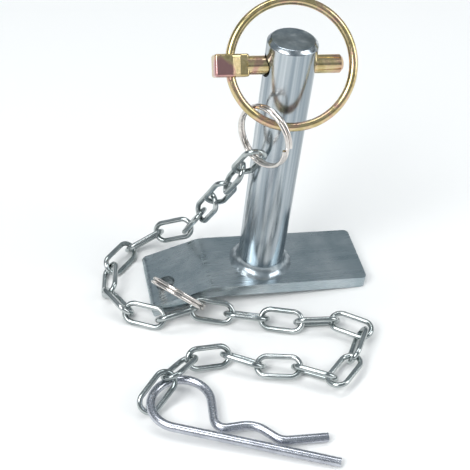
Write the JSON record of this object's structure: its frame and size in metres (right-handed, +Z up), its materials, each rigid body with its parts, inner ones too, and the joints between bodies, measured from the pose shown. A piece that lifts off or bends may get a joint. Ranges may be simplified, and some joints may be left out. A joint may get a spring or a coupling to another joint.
{
  "type": "hitch pin with keeper chain",
  "caption": "Three-point hitch pin welded to a bent handle plate, with a ringed linch pin, a welded-link keeper chain and a hair-pin clip.",
  "frame": {"origin": "middle of the assembly's footprint, on the surface that it lies on", "axes": "+Z up from the surface; +X along the handle plate from its bent end to its straight end; -Y toward the chain and the clip"},
  "size_m": [0.1284, 0.1542, 0.1462],
  "materials": {
    "bright_zinc": "bright zinc plate over drawn and sheared steel",
    "yellow_zinc": "yellow passivated zinc plate with a faint pink and green cast",
    "ring_nickel": "polished nickel plate",
    "chain_zinc": "bright zinc plate on welded wire links",
    "clip_zinc": "satin zinc plate on spring wire"
  },
  "bodies": {
    "pin": {"pin_shaft": "bright_zinc", "plate": "bright_zinc", "weld_bead": "bright_zinc"},
    "linch_pin": {"linch_pin": "yellow_zinc"},
    "linch_ring": {"linch_ring": "yellow_zinc"},
    "split_ring_1": {"split_ring_1": "ring_nickel"},
    "split_ring_2": {"split_ring_2": "ring_nickel"},
    "chain_link_01": {"chain_link_01": "chain_zinc"},
    "chain_link_02": {"chain_link_02": "chain_zinc"},
    "chain_link_03": {"chain_link_03": "chain_zinc"},
    "chain_link_04": {"chain_link_04": "chain_zinc"},
    "chain_link_05": {"chain_link_05": "chain_zinc"},
    "chain_link_06": {"chain_link_06": "chain_zinc"},
    "chain_link_07": {"chain_link_07": "chain_zinc"},
    "chain_link_08": {"chain_link_08": "chain_zinc"},
    "chain_link_09": {"chain_link_09": "chain_zinc"},
    "chain_link_10": {"chain_link_10": "chain_zinc"},
    "chain_link_11": {"chain_link_11": "chain_zinc"},
    "chain_link_12": {"chain_link_12": "chain_zinc"},
    "chain_link_13": {"chain_link_13": "chain_zinc"},
    "chain_link_14": {"chain_link_14": "chain_zinc"},
    "chain_link_15": {"chain_link_15": "chain_zinc"},
    "chain_link_16": {"chain_link_16": "chain_zinc"},
    "chain_link_17": {"chain_link_17": "chain_zinc"},
    "chain_link_18": {"chain_link_18": "chain_zinc"},
    "chain_link_19": {"chain_link_19": "chain_zinc"},
    "chain_link_20": {"chain_link_20": "chain_zinc"},
    "chain_link_21": {"chain_link_21": "chain_zinc"},
    "chain_link_22": {"chain_link_22": "chain_zinc"},
    "chain_link_23": {"chain_link_23": "chain_zinc"},
    "chain_link_24": {"chain_link_24": "chain_zinc"},
    "chain_link_25": {"chain_link_25": "chain_zinc"},
    "r_clip": {"r_clip": "clip_zinc"}
  },
  "joints": [
    {"name": "linch_slide", "type": "slide", "parent": "pin", "child": "linch_pin", "axis": [-0.995, 0, 0.1001], "range_m": [0, 0.036]},
    {"name": "linch_ring_turn", "type": "hinge", "parent": "linch_pin", "child": "linch_ring", "pos_m": [0.00013, 0.04312, 0.12367], "axis": [-0.082, -0.5736, -0.815], "range_deg": [0, 45]},
    {"name": "plate_ring_turn", "type": "hinge", "parent": "pin", "child": "split_ring_2", "pos_m": [-0.02848, 0.02662, 0.0117], "axis": [-0.6213, -0.5083, -0.5963], "range_deg": [0, 12]},
    {"name": "link_12_turn", "type": "hinge", "parent": "pin", "child": "chain_link_12", "pos_m": [-0.02228, 0.01982, 0.0071], "axis": [0, 0, 1], "range_deg": [0, 13.07]},
    {"name": "link_11_turn", "type": "hinge", "parent": "chain_link_12", "child": "chain_link_11", "pos_m": [-0.03865, 0.01835, 0.00479], "axis": [0, 0, 1], "range_deg": [0, 27.06]},
    {"name": "link_10_turn", "type": "hinge", "parent": "chain_link_11", "child": "chain_link_10", "pos_m": [-0.05311, 0.0265, 0.00479], "axis": [0, 0, -1], "range_deg": [0, 6.2]},
    {"name": "link_09_turn", "type": "hinge", "parent": "chain_link_10", "child": "chain_link_09", "pos_m": [-0.06038, 0.04142, 0.00479], "axis": [0, 0, -1], "range_deg": [0, 10.26]},
    {"name": "link_08_turn", "type": "hinge", "parent": "chain_link_09", "child": "chain_link_08", "pos_m": [-0.0579, 0.05784, 0.00478], "axis": [0, 0, -1], "range_deg": [0, 8.53]},
    {"name": "link_07_turn", "type": "hinge", "parent": "chain_link_08", "child": "chain_link_07", "pos_m": [-0.04654, 0.06994, 0.00483], "axis": [0, 0, 1], "range_deg": [0, 6.55]},
    {"name": "link_06_turn", "type": "hinge", "parent": "chain_link_07", "child": "chain_link_06", "pos_m": [-0.03114, 0.07329, 0.01002], "axis": [0, 0, -1], "range_deg": [0, 7.82]},
    {"name": "link_05_turn", "type": "hinge", "parent": "chain_link_06", "child": "chain_link_05", "pos_m": [-0.01699, 0.06748, 0.01649], "axis": [-0.7008, -0.0457, -0.7119], "range_deg": [0, 8.28]},
    {"name": "link_04_turn", "type": "hinge", "parent": "chain_link_05", "child": "chain_link_04", "pos_m": [-0.01177, 0.06006, 0.03039], "axis": [-0.3804, -0.8778, -0.2912], "range_deg": [0, 18.69]},
    {"name": "link_03_turn", "type": "hinge", "parent": "chain_link_04", "child": "chain_link_03", "pos_m": [-0.00655, 0.05264, 0.04429], "axis": [0.0605, 0.0965, -0.9935], "range_deg": [0, 8.64]},
    {"name": "link_02_turn", "type": "hinge", "parent": "chain_link_03", "child": "chain_link_02", "pos_m": [-0.00133, 0.04522, 0.05819], "axis": [0.6212, -0.1746, -0.764], "range_deg": [0, 1.25]},
    {"name": "link_01_turn", "type": "hinge", "parent": "chain_link_02", "child": "chain_link_01", "pos_m": [0.0039, 0.0378, 0.0721], "axis": [-0.2918, -0.1712, -0.941], "range_deg": [0, 0.164]},
    {"name": "hanging_ring_turn", "type": "hinge", "parent": "chain_link_01", "child": "split_ring_1", "pos_m": [0.00912, 0.03039, 0.086], "axis": [-0.142, 0.3871, -0.911], "range_deg": [0, 50.6]},
    {"name": "link_13_turn", "type": "hinge", "parent": "pin", "child": "chain_link_13", "pos_m": [-0.02228, 0.01982, 0.0071], "axis": [0, 0, 1], "range_deg": [-1, 12]},
    {"name": "link_14_turn", "type": "hinge", "parent": "chain_link_13", "child": "chain_link_14", "pos_m": [-0.00584, 0.01501, 0.00486], "axis": [0, 0, -1], "range_deg": [-18, 18]},
    {"name": "link_15_turn", "type": "hinge", "parent": "chain_link_14", "child": "chain_link_15", "pos_m": [0.00878, 0.00975, 0.00456], "axis": [0, 0, 1], "range_deg": [-18, 18]},
    {"name": "link_16_turn", "type": "hinge", "parent": "chain_link_15", "child": "chain_link_16", "pos_m": [0.02385, 0.00341, 0.00517], "axis": [0, 0, -1], "range_deg": [-18, 18]},
    {"name": "link_17_turn", "type": "hinge", "parent": "chain_link_16", "child": "chain_link_17", "pos_m": [0.04288, 0.00047, 0.00517], "axis": [0, 0, 1], "range_deg": [-18, 18]},
    {"name": "link_18_turn", "type": "hinge", "parent": "chain_link_17", "child": "chain_link_18", "pos_m": [0.0524, -0.00735, 0.00535], "axis": [0, 0, -1], "range_deg": [-18, 10]},
    {"name": "link_19_turn", "type": "hinge", "parent": "chain_link_18", "child": "chain_link_19", "pos_m": [0.04147, -0.02547, 0.00535], "axis": [0, 0, 1], "range_deg": [-18, 18]},
    {"name": "link_20_turn", "type": "hinge", "parent": "chain_link_19", "child": "chain_link_20", "pos_m": [0.03269, -0.03385, 0.00521], "axis": [0, 0, -1], "range_deg": [-18, 18]},
    {"name": "link_21_turn", "type": "hinge", "parent": "chain_link_20", "child": "chain_link_21", "pos_m": [0.01538, -0.02316, 0.00521], "axis": [0, 0, 1], "range_deg": [-18, 18]},
    {"name": "link_22_turn", "type": "hinge", "parent": "chain_link_21", "child": "chain_link_22", "pos_m": [0.00182, -0.01904, 0.00443], "axis": [0, 0, -1], "range_deg": [-18, 16]},
    {"name": "link_23_turn", "type": "hinge", "parent": "chain_link_22", "child": "chain_link_23", "pos_m": [-0.01243, -0.01017, 0.00505], "axis": [0, 0, 1], "range_deg": [-18, 11.2]},
    {"name": "link_24_turn", "type": "hinge", "parent": "chain_link_23", "child": "chain_link_24", "pos_m": [-0.03037, -0.01228, 0.0081], "axis": [0, 0, -1], "range_deg": [-9.6, 18]},
    {"name": "link_25_turn", "type": "hinge", "parent": "chain_link_24", "child": "chain_link_25", "pos_m": [-0.04051, -0.02297, 0.01165], "axis": [0, 0, 1], "range_deg": [-9.6, 8]},
    {"name": "clip_turn", "type": "hinge", "parent": "chain_link_25", "child": "r_clip", "pos_m": [-0.05266, -0.03229, 0.0044], "axis": [0, 0, -1], "range_deg": [0, 8]}
  ],
  "couplings": [
    {"joint": "linch_ring_turn", "follows": "linch_slide", "rad_per_m": 21.817},
    {"joint": "link_12_turn", "follows": "linch_slide", "rad_per_m": 6.336},
    {"joint": "link_11_turn", "follows": "linch_slide", "rad_per_m": 13.121},
    {"joint": "link_10_turn", "follows": "linch_slide", "rad_per_m": 3.0068},
    {"joint": "link_09_turn", "follows": "linch_slide", "rad_per_m": 4.9737},
    {"joint": "link_08_turn", "follows": "linch_slide", "rad_per_m": 4.1359},
    {"joint": "link_07_turn", "follows": "linch_slide", "rad_per_m": 3.1741},
    {"joint": "link_06_turn", "follows": "linch_slide", "rad_per_m": 3.7903},
    {"joint": "link_05_turn", "follows": "linch_slide", "rad_per_m": 4.0138},
    {"joint": "link_04_turn", "follows": "linch_slide", "rad_per_m": 9.0612},
    {"joint": "link_03_turn", "follows": "linch_slide", "rad_per_m": 4.1869},
    {"joint": "link_02_turn", "follows": "linch_slide", "rad_per_m": 0.60844},
    {"joint": "link_01_turn", "follows": "linch_slide", "rad_per_m": 0.079509},
    {"joint": "hanging_ring_turn", "follows": "linch_slide", "rad_per_m": 24.531}
  ]
}
